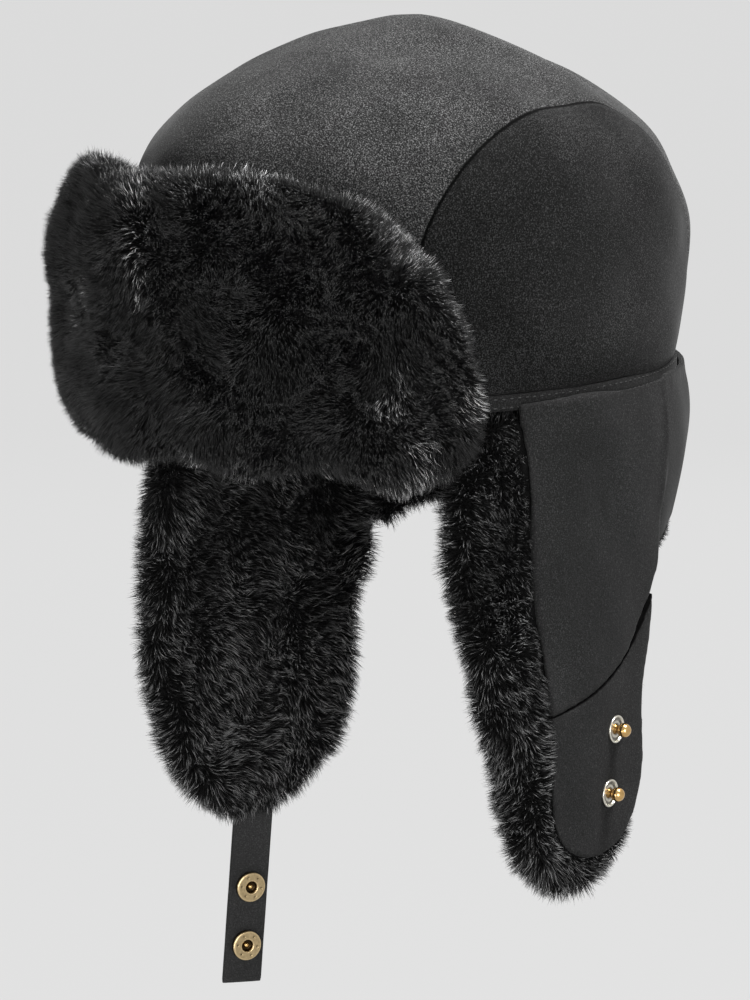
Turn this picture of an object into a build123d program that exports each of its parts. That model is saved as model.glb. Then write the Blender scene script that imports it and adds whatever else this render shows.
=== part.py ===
from build123d import *

import math
import os

# Trapper hat for an adult head, in millimetres. +Z is up, the brow faces -Y and the wearer's
# left is +X. The origin is the middle of the head opening, level with the crown's lower seam.

# --- Crown: a wool dome of three panels over a satin lining ---------------------------------
HALF_WIDTH = 93.5           # widest half-width of the crown
HALF_LENGTH = 113.5         # widest half-length of the crown
WOOL = 2.5                  # melton wool with its interlining
LINING = 2.0                # quilted satin lining
SWEATBAND = 1.5
SWEATBAND_TOP = 27.0
BAND_HEIGHT = 6.0           # the flat strip between the crown and the flaps
# Height, share of the widest ellipse, and how far the ellipse's middle lies along Y.
CROWN_STATIONS = [
    (0.0, 0.968, 0.0),
    (14.0, 1.000, 0.0),
    (40.0, 1.000, -0.5),
    (64.0, 0.980, -2.0),
    (82.0, 0.925, -3.5),
    (95.0, 0.820, -5.5),
    (105.5, 0.670, -8.5),
    (114.5, 0.490, -9.5),
    (121.5, 0.320, -8.0),
    (126.5, 0.170, -5.0),
    (129.0, 0.050, -3.0),
]
# The half-moon outline of each side panel, seen from the side: (Y, height), brow to nape.
SIDE_SEAM = [
    (-77.0, -2.0), (-74.0, 32.0), (-66.5, 63.0), (-51.0, 82.5), (-24.0, 95.5), (10.0, 100.0),
    (40.0, 97.0), (62.0, 84.0), (76.0, 62.0), (84.0, 32.0), (87.0, -2.0),
]

# --- Neck curtain and ear flaps -------------------------------------------------------------
FUR_DEPTH = 24.0            # pile and its backing, as a solid pad
NECK_DEPTH = 20.5           # the same on the neck curtain, from the wool's outer face
PROUD = 1.2                 # how far the wool stands out of the pad that it faces
FLAP_TOP = -7.4             # top edge of the ear flaps, clear of the band
FLAP_REAR = 46.5            # where an ear flap ends and the neck curtain begins
JOINT_GAP = 1.0
# Height, half-width and half-length of the neck curtain's outer face.
NECK_STATIONS = [
    (-BAND_HEIGHT, 93.8, 114.0),
    (-30.0, 95.0, 116.0),
    (-60.0, 92.5, 107.5),
    (-95.0, 90.5, 100.0),
]
NECK_WOOL_EDGE = [(47.5, -74.5), (53.0, -69.0), (62.0, -65.0), (78.0, -63.0), (120.0, -63.0)]
NECK_FUR_EDGE = [(47.5, -84.0), (54.0, -77.0), (63.0, -72.5), (78.0, -70.5), (120.0, -70.0)]
NECK_LEFT_CUT = [(44.0, -78.0), (50.0, -75.5), (60.0, -72.0), (76.0, -73.0), (120.0, -90.0)]
# Ear flaps: height, distance of the outer face from the middle at three places along Y
# (front, middle, rear) and the pad's depth at that height.
FACE_Y = (-50.0, -5.0, 42.0)
FLAP_STATIONS = [
    (FLAP_TOP, (84.0, 93.2, 87.0), FUR_DEPTH),
    (-22.0, (86.5, 94.4, 87.6), FUR_DEPTH),
    (-45.0, (89.0, 94.8, 87.5), FUR_DEPTH),
    (-85.0, (93.5, 94.5, 86.0), FUR_DEPTH),
    (-115.0, (96.5, 94.0, 84.5), FUR_DEPTH),
    (-145.0, (97.0, 93.5, 84.0), FUR_DEPTH),
    (-168.0, (97.0, 92.5, 83.5), FUR_DEPTH - 1.0),
    (-185.0, (96.0, 92.0, 83.0), FUR_DEPTH - 4.0),
    (-195.0, (95.0, 91.0, 83.0), FUR_DEPTH - 12.0),
]
# Front and rear edges of each flap's fur at those heights: the right flap hangs open wider.
PAST_REAR = FLAP_REAR + 5.0
LEFT_EDGES = [
    (-50.0, PAST_REAR), (-52.5, PAST_REAR), (-60.0, PAST_REAR), (-58.5, 44.0),
    (-51.5, 40.5), (-42.0, 41.0), (-34.5, 38.0), (-22.0, 28.0), (-10.5, 13.0),
]
RIGHT_EDGES = [
    (-50.0, PAST_REAR), (-54.0, PAST_REAR), (-67.0, PAST_REAR), (-67.0, PAST_REAR),
    (-63.5, 43.0), (-57.0, 40.0), (-49.0, 32.0), (-34.0, 18.0), (-20.0, 7.0),
]
# The wool's edge on each flap, from the top of the front edge down and round to the rear.
LEFT_WOOL_EDGE = [
    (-35.0, FLAP_TOP), (-32.0, -45.0), (-30.5, -85.0), (-25.0, -115.0), (-23.0, -145.0),
    (-18.0, -166.0), (-4.0, -176.5), (13.0, -179.0), (29.0, -171.5), (37.5, -157.0),
    (38.5, -142.0), (36.5, -128.0), (37.0, -116.0), (40.0, -100.0), (41.5, -86.0),
    (46.0, -75.0),
]
RIGHT_WOOL_EDGE = [
    (-35.0, FLAP_TOP), (-36.0, -45.0), (-37.0, -85.0), (-36.0, -115.0), (-34.0, -145.0),
    (-25.0, -167.0), (-9.0, -177.5), (8.0, -177.5), (23.0, -170.0), (33.0, -156.0),
    (37.5, -138.0), (37.0, -116.0), (39.0, -98.0), (46.0, -81.0),
]
# The seam that joins the lower chin piece, from the front edge to the rear edge.
CHIN_SEAM = [(-50.0, -121.0), (-16.0, -118.0), (8.0, -112.5), (25.0, -103.0), (36.0, -91.0),
             (50.0, -76.0)]

# --- Front flap, turned up against the crown ------------------------------------------------
FRONT_GAP = 5.2             # from the widest crown ellipse to the fur pad's inner face
# Angle round the crown's ellipse from +X, pad bottom, pad top, pad depth.
FRONT_STATIONS = [
    (-29.0, -15.5, 9.0, 15.5),
    (-32.0, -23.5, 30.5, 25.0),
    (-37.0, -27.0, 49.0, 27.0),
    (-44.0, -28.0, 65.0, 27.0),
    (-56.5, -27.5, 79.0, 25.5),
    (-72.0, -26.5, 84.0, 24.0),
    (-90.0, -26.0, 82.0, 24.0),
]
# The pad's rounded outline from the top of its flat inner face, over the outside and back to
# the foot of that face, as shares of its depth outwards and of its height upwards.
PILLOW = [(0.0, 0.88), (0.42, 1.0), (0.86, 0.87), (1.0, 0.60), (0.96, 0.32), (0.78, 0.10),
          (0.42, 0.0), (0.0, 0.10)]
FRONT_WOOL_START = -31.0    # where the flap's wool backing ends, as an angle
FRONT_WOOL_BOTTOM = -15.0
FRONT_WOOL_DROP = 10.0      # from the top of the fur down to the wool's upper edge

# --- Chin strap and its snaps ---------------------------------------------------------------
STRAP_HINGE = (-84.5, -4.5, -198.6)
STRAP_TURN = 71.0           # the strap's face is turned this far from the brow's direction
STRAP_LEAN = 4.6
STRAP_WIDTH = 16.8
STRAP_THICKNESS = 3.0
STRAP_LENGTH = 65.0
SOCKET_PLACES = (25.0, 49.2)    # down the strap from its hinge
SOCKET_DIAMETER = 12.0
SOCKET_HEIGHT = 2.4
SOCKET_HOLE = 6.0
CAP_DIAMETER = 12.5
CAP_HEIGHT = 1.6
POST_DIAMETER = 3.6
STUD_PLACES = [(17.0, -131.5), (14.0, -155.5)]
WASHER_DIAMETER = 10.5
WASHER_HOLE = 5.0
WASHER_HEIGHT = 0.9
STUD_NECK = 3.4
STUD_BALL = 5.4
STUD_REACH = 3.4            # from the wool's face to the middle of the ball
BACK_DIAMETER = 10.0
BACK_HEIGHT = 1.0
SEAT_SINK = 0.3             # how far the washers and backs press into the wool

FAR = 300.0                 # a length beyond the whole hat, for cutting shapes


def inset_stations(stations, depth):
    """Moves each crown station inwards by depth, square to the dome's own slope."""
    moved = []
    for place, (height, share, middle) in enumerate(stations):
        below = stations[max(place - 1, 0)]
        above = stations[min(place + 1, len(stations) - 1)]
        rise = above[0] - below[0]
        run = (above[1] - below[1]) * HALF_WIDTH
        slope = math.hypot(rise, run)
        inward = share - depth * rise / slope / HALF_WIDTH
        lowered = height + depth * run / slope if place else height - 1.0
        moved.append((lowered, inward, middle))
    return moved


def dome(stations):
    """A closed dome lofted through ellipses."""
    ellipses = []
    for height, share, middle in stations:
        width, length = HALF_WIDTH * share, HALF_LENGTH * share
        ellipses.append(Pos(0, middle, height) * Ellipse(width, length))
    return loft(ellipses)


def ring(bottom, height, outer, inner):
    """An upright elliptical ring. Outer and inner are (half-width, half-length)."""
    face = Ellipse(*outer) - Ellipse(*inner)
    return extrude(Pos(0, 0, bottom) * face, amount=height)


def side_outline(points, closing):
    """A prism along X whose edge in the YZ plane is a spline, closed by straight runs."""
    curve = Spline(*[(0, y, z) for y, z in points])
    rest = Polyline(*[(0, y, z) for y, z in [points[-1]] + closing + [points[0]]])
    return extrude(make_face([curve, rest]), amount=FAR, dir=(1, 0, 0))


def three_panels(shell):
    """Cuts a dome shell along the two side seams into centre, left and right panels."""
    left_moon = side_outline(SIDE_SEAM, [])
    right_moon = Pos(-FAR, 0, 0) * left_moon
    return shell - left_moon - right_moon, shell & left_moon, shell & right_moon


def face_x(distances, y):
    """Distance of the ear flap's outer face from the middle, a parabola through three places."""
    total = 0.0
    for at, value in zip(FACE_Y, distances):
        weight = 1.0
        for other in FACE_Y:
            if other != at:
                weight *= (y - other) / (at - other)
        total += weight * value
    return total


def face_slope(distances, y):
    """How fast that distance changes along Y."""
    step = 0.5
    return (face_x(distances, y + step) - face_x(distances, y - step)) / (2 * step)


def flap_distances(height):
    """The three distances of the outer face at any height, between the stations."""
    for upper, lower in zip(FLAP_STATIONS, FLAP_STATIONS[1:]):
        if upper[0] >= height >= lower[0]:
            part = (upper[0] - height) / (upper[0] - lower[0])
            return [a + part * (b - a) for a, b in zip(upper[1], lower[1])]
    raise ValueError("height off the ear flap")


def face_run(distances, height, start, end, inwards):
    """The parabola from one place along Y to another, as the three points of a Bezier curve."""
    start_x, end_x = face_x(distances, start), face_x(distances, end)
    pull_x = start_x + face_slope(distances, start) * (end - start) / 2
    middle = 0.5 * (start + end)
    run = [(start_x, start), (pull_x, middle), (end_x, end)]
    return [(x - inwards, y, height) for x, y in run]


def flap_pad(flap_edges):
    """An ear flap's fur pad on the left, lofted through crescent sections with round ends."""
    sections = []
    for (height, distances, depth), (front, rear) in zip(FLAP_STATIONS, flap_edges):
        roll = 0.36 * min(depth, rear - front)
        start, end = front + roll, rear - 0.6 * roll
        outer = face_run(distances, height, start, end, PROUD)
        inner = face_run(distances, height, start, end, depth)
        half_depth = 0.5 * (depth - PROUD)
        front_tip = (outer[0][0] - half_depth, front, height)
        rear_tip = (outer[2][0] - half_depth, rear, height)
        edges = [
            Bezier(*outer),
            ThreePointArc(outer[2], rear_tip, inner[2]),
            Bezier(*reversed(inner)),
            ThreePointArc(inner[0], front_tip, outer[0]),
        ]
        sections.append(make_face(edges))
    clear_of_neck = Pos(0, FLAP_REAR - FAR / 2, 0) * Box(FAR, FAR, 2 * FAR)
    return loft(sections) & clear_of_neck


def flap_sheet():
    """An ear flap's outer sheet of wool on the left, before it is cut to shape."""
    sections = []
    for height, distances, _depth in FLAP_STATIONS:
        outer = face_run(distances, height, FACE_Y[0], FLAP_REAR, 0.0)
        inner = face_run(distances, height, FACE_Y[0], FLAP_REAR, WOOL)
        edges = [
            Bezier(*outer),
            Line(outer[2], inner[2]),
            Bezier(*reversed(inner)),
            Line(inner[0], outer[0]),
        ]
        sections.append(make_face(edges))
    return loft(sections)


def neck_pad(inset, depth):
    """The neck curtain as a thick ring behind the ears, inset from its outer face."""
    outer = loft([Pos(0, 0, z) * Ellipse(a - inset, b - inset) for z, a, b in NECK_STATIONS])
    total = inset + depth
    inner = loft([Pos(0, 0, z) * Ellipse(a - total, b - total) for z, a, b in NECK_STATIONS])
    behind = Pos(0, FLAP_REAR + JOINT_GAP + FAR / 2, 0) * Box(FAR, FAR, FAR)
    return (outer - inner) & behind


def front_place(angle, out, height):
    """A point this far out of the widest crown ellipse, square to it."""
    turn = math.radians(angle)
    x, y = HALF_WIDTH * math.cos(turn), HALF_LENGTH * math.sin(turn)
    normal = Vector(math.cos(turn) / HALF_WIDTH, math.sin(turn) / HALF_LENGTH, 0).normalized()
    return Vector(x, y, height) + normal * out


def front_angles():
    """The front flap's stations from the left end round the brow to the right end."""
    mirrored = [(-180.0 - angle, *rest) for angle, *rest in reversed(FRONT_STATIONS[:-1])]
    return list(FRONT_STATIONS) + mirrored


def front_pad():
    """The front flap's fur pad: a pillow lofted round the brow."""
    sections = []
    for angle, bottom, top, depth in front_angles():
        pillow = [front_place(angle, FRONT_GAP + out * depth, bottom + up * (top - bottom))
                  for out, up in PILLOW]
        sections.append(make_face([Line(pillow[0], pillow[-1]), Spline(*pillow)]))
    return loft(sections)


def front_wool():
    """The wool backing on the inner face of the front flap."""
    sections = []
    for angle, _bottom, top, _depth in front_angles():
        if FRONT_WOOL_START < angle or angle < -180.0 - FRONT_WOOL_START:
            continue
        near, far = FRONT_GAP - PROUD, FRONT_GAP - PROUD + WOOL
        low, high = FRONT_WOOL_BOTTOM, top - FRONT_WOOL_DROP
        corners = [(near, low), (near, high), (far, high), (far, low)]
        points = [front_place(angle, out, z) for out, z in corners]
        sections.append(make_face(Polyline(*points, close=True)))
    return loft(sections)


def strap_plane():
    """The strap's own frame: x along its width, y up the strap, z out of its snap face."""
    turn, lean = math.radians(STRAP_TURN), math.radians(STRAP_LEAN)
    normal = Vector(math.sin(turn), -math.cos(turn), 0)
    across = Vector(math.cos(turn), math.sin(turn), 0)
    width = across * math.cos(lean) - Vector(0, 0, 1) * math.sin(lean)
    return Plane(origin=STRAP_HINGE, x_dir=width, z_dir=normal)


def on_strap(down, out):
    """The place on the strap's middle line, this far down it and out of its mid-plane."""
    return strap_plane() * Pos(0, -down, out)


def stud_plane(place):
    """The frame of one stud on the left flap's wool, z square to the wool."""
    y, z = place
    distances = flap_distances(z)
    outward = (1, -face_slope(distances, y), 0)
    return Plane(origin=(face_x(distances, y), y, z), z_dir=outward)


def mirror_left(shape):
    """The right-hand twin of a left-hand piece."""
    return mirror(shape, about=Plane.YZ)


parts = {}

# Crown panels, their lining and the sweatband inside the brow
lining_outer = dome(inset_stations(CROWN_STATIONS, WOOL))
lining_inner = dome(inset_stations(CROWN_STATIONS, WOOL + LINING))
band_inner = dome(inset_stations(CROWN_STATIONS, WOOL + LINING + SWEATBAND))
above_seam = Pos(0, 0, FAR / 2) * Box(FAR, FAR, FAR)
crown_shell = dome(CROWN_STATIONS) - lining_outer
lining_shell = (lining_outer - lining_inner) & above_seam
centre, left, right = three_panels(crown_shell)
parts["crown_center_panel"] = centre
parts["crown_side_panel_left"] = left
parts["crown_side_panel_right"] = right
centre, left, right = three_panels(lining_shell)
parts["lining_center_panel"] = centre
parts["lining_side_panel_left"] = left
parts["lining_side_panel_right"] = right
sweat_slab = Pos(0, 0, SWEATBAND_TOP / 2) * Box(FAR, FAR, SWEATBAND_TOP)
parts["sweatband"] = (lining_inner - band_inner) & sweat_slab

# Flat band under the crown, on which the flaps and the neck curtain are sewn
seam_share = CROWN_STATIONS[0][1]
band_outer = (HALF_WIDTH * seam_share + 0.8, HALF_LENGTH * seam_share + 0.8)
band_depth = WOOL + LINING
parts["crown_band"] = ring(
    -BAND_HEIGHT, BAND_HEIGHT, band_outer, (band_outer[0] - band_depth, band_outer[1] - band_depth)
)

# Neck curtain: two halves of wool joined at the middle of the back, over one fur lining
neck_closing = [(120.0, -BAND_HEIGHT), (47.5, -BAND_HEIGHT)]
wool_shape = Pos(-FAR / 2, 0, 0) * side_outline(NECK_WOOL_EDGE, neck_closing)
fur_shape = Pos(-FAR / 2, 0, 0) * side_outline(NECK_FUR_EDGE, neck_closing)
neck_wool = neck_pad(0.0, WOOL) & wool_shape
below_left = side_outline(NECK_LEFT_CUT, [(120.0, -FAR), (44.0, -FAR)])
neck_fur = (neck_pad(PROUD, NECK_DEPTH - PROUD) & fur_shape) - neck_wool - below_left
parts["neck_curtain_wool_left"] = split(neck_wool, bisect_by=Plane.YZ, keep=Keep.TOP)
parts["neck_curtain_wool_right"] = split(neck_wool, bisect_by=Plane.YZ, keep=Keep.BOTTOM)
parts["neck_curtain_fur"] = neck_fur

# Ear flaps: outer wool in two pieces, with the fur lining rolled round the edge
flap_closing = [(FLAP_REAR, FLAP_TOP)]
below_seam = side_outline(CHIN_SEAM, [(50.0, -220.0), (-50.0, -220.0)])
left_wool = flap_sheet() & side_outline(LEFT_WOOL_EDGE, flap_closing)
right_wool = flap_sheet() & side_outline(RIGHT_WOOL_EDGE, flap_closing)
parts["ear_flap_wool_left"] = left_wool - below_seam
parts["ear_flap_wool_right"] = mirror_left(right_wool - below_seam)
parts["chin_piece_right"] = mirror_left(right_wool & below_seam)
parts["ear_flap_fur_right"] = mirror_left(flap_pad(RIGHT_EDGES) - right_wool)

# Snap studs on the left flap: washer and ball stud outside, flat back inside the fur
washers, studs, backs = [], [], []
for place in STUD_PLACES:
    seat = stud_plane(place)
    washer = Cylinder(WASHER_DIAMETER / 2, WASHER_HEIGHT) - Cylinder(WASHER_HOLE / 2, FAR)
    washers.append(seat * Pos(0, 0, WASHER_HEIGHT / 2 - SEAT_SINK) * washer)
    neck_length = STUD_REACH + WOOL + BACK_HEIGHT / 2
    neck = Pos(0, 0, STUD_REACH - neck_length / 2) * Cylinder(STUD_NECK / 2, neck_length)
    studs.append(seat * (neck + Pos(0, 0, STUD_REACH) * Sphere(STUD_BALL / 2)))
    disc = Pos(0, 0, -WOOL - BACK_HEIGHT / 2 + SEAT_SINK) * Cylinder(BACK_DIAMETER / 2, BACK_HEIGHT)
    backs.append(seat * disc - studs[-1])
fur_left = flap_pad(LEFT_EDGES) - left_wool
chin_left = left_wool & below_seam
for washer, stud, back in zip(washers, studs, backs):
    fur_left = fur_left - back - stud
    chin_left = chin_left - stud - washer - back
parts["chin_piece_left"] = chin_left
parts["ear_flap_fur_left"] = fur_left
parts["snap_stud_washers"] = Compound(children=washers)
parts["snap_studs"] = Compound(children=studs)
parts["snap_stud_backs"] = Compound(children=backs)

# Front flap: wool backing towards the crown, fur outside
backing = front_wool()
parts["front_flap_wool"] = backing
parts["front_flap_fur"] = front_pad() - backing

# Chin strap with its two snap sockets, their caps and the posts that join them
strap = on_strap(STRAP_LENGTH / 2, 0) * Box(STRAP_WIDTH, STRAP_LENGTH, STRAP_THICKNESS)
top_round = on_strap(0, 0) * Rot(0, 90, 0) * Cylinder(STRAP_THICKNESS / 2, STRAP_WIDTH)
strap = strap + top_round
sockets, caps, posts = [], [], []
for down in SOCKET_PLACES:
    face = STRAP_THICKNESS / 2
    socket = Cylinder(SOCKET_DIAMETER / 2, SOCKET_HEIGHT) - Cylinder(SOCKET_HOLE / 2, FAR)
    sockets.append(on_strap(down, face + SOCKET_HEIGHT / 2) * socket)
    caps.append(on_strap(down, -face - CAP_HEIGHT / 2) * Cylinder(CAP_DIAMETER / 2, CAP_HEIGHT))
    post_length = STRAP_THICKNESS + 0.6 * SOCKET_HEIGHT
    post = Cylinder(POST_DIAMETER / 2, post_length)
    posts.append(on_strap(down, 0.3 * SOCKET_HEIGHT) * post)
    strap = strap - posts[-1]
parts["chin_strap"] = strap
parts["strap_snap_sockets"] = Compound(children=sockets)
parts["strap_snap_caps"] = Compound(children=caps)
parts["strap_snap_posts"] = Compound(children=posts)

os.makedirs("parts", exist_ok=True)
for name, shape in parts.items():
    export_step(Compound(children=list(shape.solids())), f"parts/{name}.step")
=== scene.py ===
import bpy
import math
import numpy as np
from mathutils import Matrix, Vector
from mathutils.bvhtree import BVHTree


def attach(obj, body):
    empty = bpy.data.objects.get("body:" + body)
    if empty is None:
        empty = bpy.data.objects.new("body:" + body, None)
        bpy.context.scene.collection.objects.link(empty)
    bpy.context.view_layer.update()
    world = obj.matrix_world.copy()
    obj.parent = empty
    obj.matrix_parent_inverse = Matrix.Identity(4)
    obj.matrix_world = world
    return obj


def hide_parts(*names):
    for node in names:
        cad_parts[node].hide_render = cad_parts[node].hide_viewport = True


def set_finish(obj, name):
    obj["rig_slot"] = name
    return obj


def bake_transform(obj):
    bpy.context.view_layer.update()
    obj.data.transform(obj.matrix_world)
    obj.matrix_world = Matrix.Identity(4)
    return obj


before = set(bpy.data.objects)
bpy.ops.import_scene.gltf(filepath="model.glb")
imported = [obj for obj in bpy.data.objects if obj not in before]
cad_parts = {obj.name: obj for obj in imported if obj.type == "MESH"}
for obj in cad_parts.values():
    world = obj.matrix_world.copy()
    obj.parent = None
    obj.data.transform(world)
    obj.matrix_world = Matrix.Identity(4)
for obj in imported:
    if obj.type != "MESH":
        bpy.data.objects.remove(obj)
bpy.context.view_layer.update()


# The crown: a centre panel that runs from the brow over the top to the nape, and a half-moon
# panel on each side. They are cut from thick melton, a woven wool that is fulled and napped
# until its weave closes up, and the three are joined by plain seams pressed open inside.
def linear(hex_colour):
    """A colour written as sRGB hex, as the linear colour that a shader takes."""
    channels = [int(hex_colour[i:i + 2], 16) / 255 for i in (1, 3, 5)]
    return [c / 12.92 if c <= 0.04045 else ((c + 0.055) / 1.055) ** 2.4 for c in channels] + [1.0]


def add(material, kind, settings=None, links=None):
    """One node of a material: settings are its properties and socket values, links its inputs."""
    made = material.node_tree.nodes.new(kind)
    for name, value in (settings or {}).items():
        if isinstance(name, str) and hasattr(made, name):
            setattr(made, name, value)
        else:
            made.inputs[name].default_value = value
    for name, source in (links or {}).items():
        material.node_tree.links.new(source, made.inputs[name])
    return made


def finish_named(name):
    """A new material with an empty node tree."""
    material = bpy.data.materials.new(name)
    material.use_nodes = True
    material.node_tree.nodes.clear()
    return material


def noise(material, size, detail):
    """A noise texture of this size in metres, fixed to the object."""
    place = add(material, "ShaderNodeTexCoord").outputs["Object"]
    made = add(material, "ShaderNodeTexNoise", {"Scale": 1 / size, "Detail": detail}, {"Vector": place})
    return made.outputs["Fac"]


def stored(material, name):
    """A value that the mesh carries under this name."""
    return add(material, "ShaderNodeAttribute", {"attribute_name": name}).outputs["Fac"]


def ramp(material, source, stops):
    """A source turned into colour, with stops that are each (place, hex colour)."""
    made = add(material, "ShaderNodeValToRGB", None, {"Fac": source})
    while len(made.color_ramp.elements) < len(stops):
        made.color_ramp.elements.new(0.5)
    for element, (place, hex_colour) in zip(made.color_ramp.elements, stops):
        element.position = place
        element.color = linear(hex_colour)
    return made.outputs["Color"]


def bumps(material, source, strength, distance):
    """The normal of a surface that a source raises by up to this distance in metres."""
    made = add(material, "ShaderNodeBump", {"Strength": strength, "Distance": distance},
               {"Height": source})
    return made.outputs["Normal"]


def surfaced(material, settings, links=None):
    """The same material, ended in a surface with these settings and inputs."""
    surface = add(material, "ShaderNodeBsdfPrincipled", settings, links)
    add(material, "ShaderNodeOutputMaterial", None, {"Surface": surface.outputs[0]})
    return material


WAVES, WAVE_SUM = 9, 3.2


def wander(points, wavelength, seed):
    """A smooth random value at each point, about -1 to 1, that changes over this many metres."""
    chance = np.random.default_rng(seed)
    value = np.zeros(len(points))
    for _ in range(WAVES):
        direction = chance.normal(size=3)
        direction *= chance.uniform(0.6, 1.5) * 2 * np.pi / wavelength / np.linalg.norm(direction)
        value += np.sin(points @ direction + chance.uniform(0, 2 * np.pi))
    return value / WAVE_SUM


def rows_of(items, name):
    """A three-number property of these items, as an array with a row for each."""
    values = np.empty(len(items) * 3)
    items.foreach_get(name, values)
    return values.reshape(-1, 3)


def corners_of(mesh):
    """A mesh's vertices as an array."""
    return rows_of(mesh.vertices, "co")


def move_to(made, co):
    """Moves an object's vertices to these places."""
    made.data.vertices.foreach_set("co", co.ravel())
    made.data.update()


def normals_of(mesh):
    """A mesh's vertex normals as an array."""
    return rows_of(mesh.vertex_normals, "vector")


def relax(mesh, values, rounds, share=0.5):
    """Evens out values on a mesh's vertices: each moves towards the mean of its neighbours."""
    edges = np.empty(len(mesh.edges) * 2, np.int64)
    mesh.edges.foreach_get("vertices", edges)
    a, b = edges.reshape(-1, 2).T
    count = np.bincount(a, minlength=len(values)) + np.bincount(b, minlength=len(values))
    count = np.maximum(count, 1)
    columns = values.reshape(len(values), -1).copy()
    for _ in range(rounds):
        for i in range(columns.shape[1]):
            column = columns[:, i]
            total = np.bincount(a, column[b], len(column)) + np.bincount(b, column[a], len(column))
            columns[:, i] = column + share * (total / count - column)
    return columns.reshape(values.shape)


def joined(nodes):
    """The vertices and faces of some construction solids, as arrays and lists."""
    vertices, faces = [], []
    for name in nodes:
        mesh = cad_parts[name].data
        start = sum(len(v) for v in vertices)
        vertices.append(corners_of(mesh))
        faces += [tuple(start + i for i in polygon.vertices) for polygon in mesh.polygons]
    return np.concatenate(vertices), faces


def piece(name, vertices, faces, material, slot):
    """A new smooth-shaded object of these vertices and faces."""
    mesh = bpy.data.meshes.new(name)
    mesh.from_pydata([tuple(v) for v in vertices], [], faces)
    mesh.shade_smooth()
    made = bpy.data.objects.new(name, mesh)
    bpy.context.scene.collection.objects.link(made)
    mesh.materials.append(material)
    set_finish(made, slot)
    return made


def even_mesh(made, size):
    """Gives an object one even skin of quads of this size, with every edge rounded to it."""
    modifier = made.modifiers.new("even", "REMESH")
    modifier.mode = "VOXEL"
    modifier.voxel_size = size
    modifier.use_smooth_shade = True
    bpy.context.view_layer.update()
    skin = bpy.data.meshes.new_from_object(made.evaluated_get(bpy.context.evaluated_depsgraph_get()))
    made.modifiers.clear()
    material = made.data.materials[0]
    made.data = skin
    skin.name = made.name
    skin.materials.clear()
    skin.materials.append(material)
    return made


WIDE_DENTS, NARROW_DENTS = 0.075, 0.034


def soft_cloth(name, nodes, size, rounds, dents, seed, material, slot, mend=None):
    """Thick cloth in the place of some construction solids: rounded edges and shallow dents.

    Size is that of its quads, rounds how far edges are evened out, dents how deep it is dented."""
    vertices, faces = joined(nodes)
    if mend is not None:
        vertices = mend(vertices)
    made = even_mesh(piece(name, vertices, faces, material, slot), size)
    co = relax(made.data, corners_of(made.data), rounds)
    move_to(made, co)
    lift = dents * (wander(co, WIDE_DENTS, seed) + 0.5 * wander(co, NARROW_DENTS, seed + 1) - 0.3)
    co += relax(made.data, normals_of(made.data), 2) * lift[:, None]
    move_to(made, co)
    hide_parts(*nodes)
    return made


def tree_of(nodes):
    """A search tree over some construction solids."""
    vertices, faces = joined(nodes)
    return BVHTree.FromPolygons([tuple(v) for v in vertices], faces)


# How far from a seam it is still felt, and how far a rounded skin may lie from its solids.
SEAM_REACH = 0.010
SKIN_REACH = 0.003


def gap_to(tree, co):
    """How far each point lies from a tree's surface, up to a seam's reach."""
    found = [tree.find_nearest(Vector(point), SEAM_REACH)[3] for point in co]
    return np.array([SEAM_REACH if gap is None else gap for gap in found])


def on_skin(tree, co, out):
    """Each point moved straight onto a tree's outer skin, where that is near enough."""
    moved = co.copy()
    for i, (point, normal) in enumerate(zip(co, out)):
        met = tree.ray_cast(Vector(point + SKIN_REACH * normal), Vector(-normal), 2 * SKIN_REACH)[0]
        if met is not None:
            moved[i] = met
    return moved


def gap_and_share(tree, co, out):
    """Each point's gap from a tree, up to a seam's reach, and its share that runs along the skin."""
    gaps, shares = np.full(len(co), SEAM_REACH), np.ones(len(co))
    least = 0.06
    for i, point in enumerate(co):
        met, _, _, gap = tree.find_nearest(Vector(point), SEAM_REACH)
        if met is not None:
            gaps[i] = gap
            upright = (np.array(met) - point) @ out[i] / max(gap, 1e-6)
            shares[i] = math.sqrt(max(least, 1 - upright ** 2))
    return gaps, shares


def store(made, name, values):
    """Stores a value on each of an object's vertices, for its material."""
    attribute = made.data.attributes.new(name, "FLOAT", "POINT")
    attribute.data.foreach_set("value", np.asarray(values, np.float32))


def mark_painted_seam_shade(made, gap):
    """Stores how near each vertex is to a seam, 1 on it and falling to 0 at the seam's reach, for the
    melton's painted seam shade.
    """
    store(made, "seam", 1 - gap / SEAM_REACH)


def part_of(whole, name, chosen, material, slot):
    """The chosen faces of an object as a new object, and which of its vertices they use."""
    faces = [tuple(polygon.vertices) for polygon in whole.data.polygons]
    kept = [faces[i] for i in np.flatnonzero(chosen)]
    used = np.unique([i for face in kept for i in face])
    place_of = {old: new for new, old in enumerate(used)}
    made = piece(name, corners_of(whole.data)[used],
                 [tuple(place_of[i] for i in face) for face in kept], material, slot)
    return made, used


# Where the crown's cloth stands off a smooth dome, by slack and handling: (place, radius, height).
SLACK = [
    ((-0.050, -0.070, 0.096), 0.036, -0.0019),
    ((0.050, 0.062, 0.095), 0.024, -0.0018),
    ((0.062, 0.080, 0.074), 0.015, -0.0018),
    ((0.058, 0.086, 0.050), 0.014, 0.0022),
    ((0.060, 0.086, 0.040), 0.022, 0.0014),
    ((0.080, 0.020, 0.078), 0.016, -0.0016),
    ((0.094, 0.010, 0.040), 0.022, -0.0018),
    ((0.092, -0.030, 0.022), 0.018, 0.0014),
]


SEAM_DEPTH, SEAM_WIDTH = 0.0007, 0.0020
DEEPEST = -0.0013


def spot(points, place, radius):
    """1 at a place, falling off all round it over about two radii."""
    return np.exp(-(((points - place) / radius) ** 2).sum(axis=1))


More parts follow.
